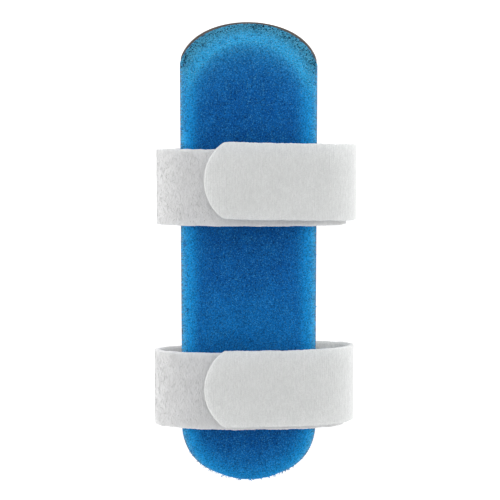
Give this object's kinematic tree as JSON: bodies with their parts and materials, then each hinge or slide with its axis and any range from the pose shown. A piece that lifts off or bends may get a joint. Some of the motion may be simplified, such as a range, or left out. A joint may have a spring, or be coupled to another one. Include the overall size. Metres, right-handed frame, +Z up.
{
  "type": "finger splint",
  "caption": "Foam-lined aluminium gutter splint that holds a finger straight, with hook-and-loop straps closed into rings.",
  "frame": {"origin": "under the middle of the whole object, on the surface that it lies on", "axes": "+X across the splint, +Y towards the hand end, +Z up out of the gutter"},
  "size_m": [0.0432, 0.0982, 0.0187],
  "materials": {
    "aluminium": "satin",
    "foam": "matte open-cell foam",
    "loop_tape": "fuzzy napped loop pile",
    "hook_tape": "fine ribbed weave"
  },
  "bodies": {
    "root": {"aluminium_shell": "aluminium", "foam_pad": "foam", "upper_loop_strap": "loop_tape", "upper_hook_strap": "hook_tape", "lower_loop_strap": "loop_tape", "lower_hook_strap": "hook_tape"}
  },
  "joints": []
}
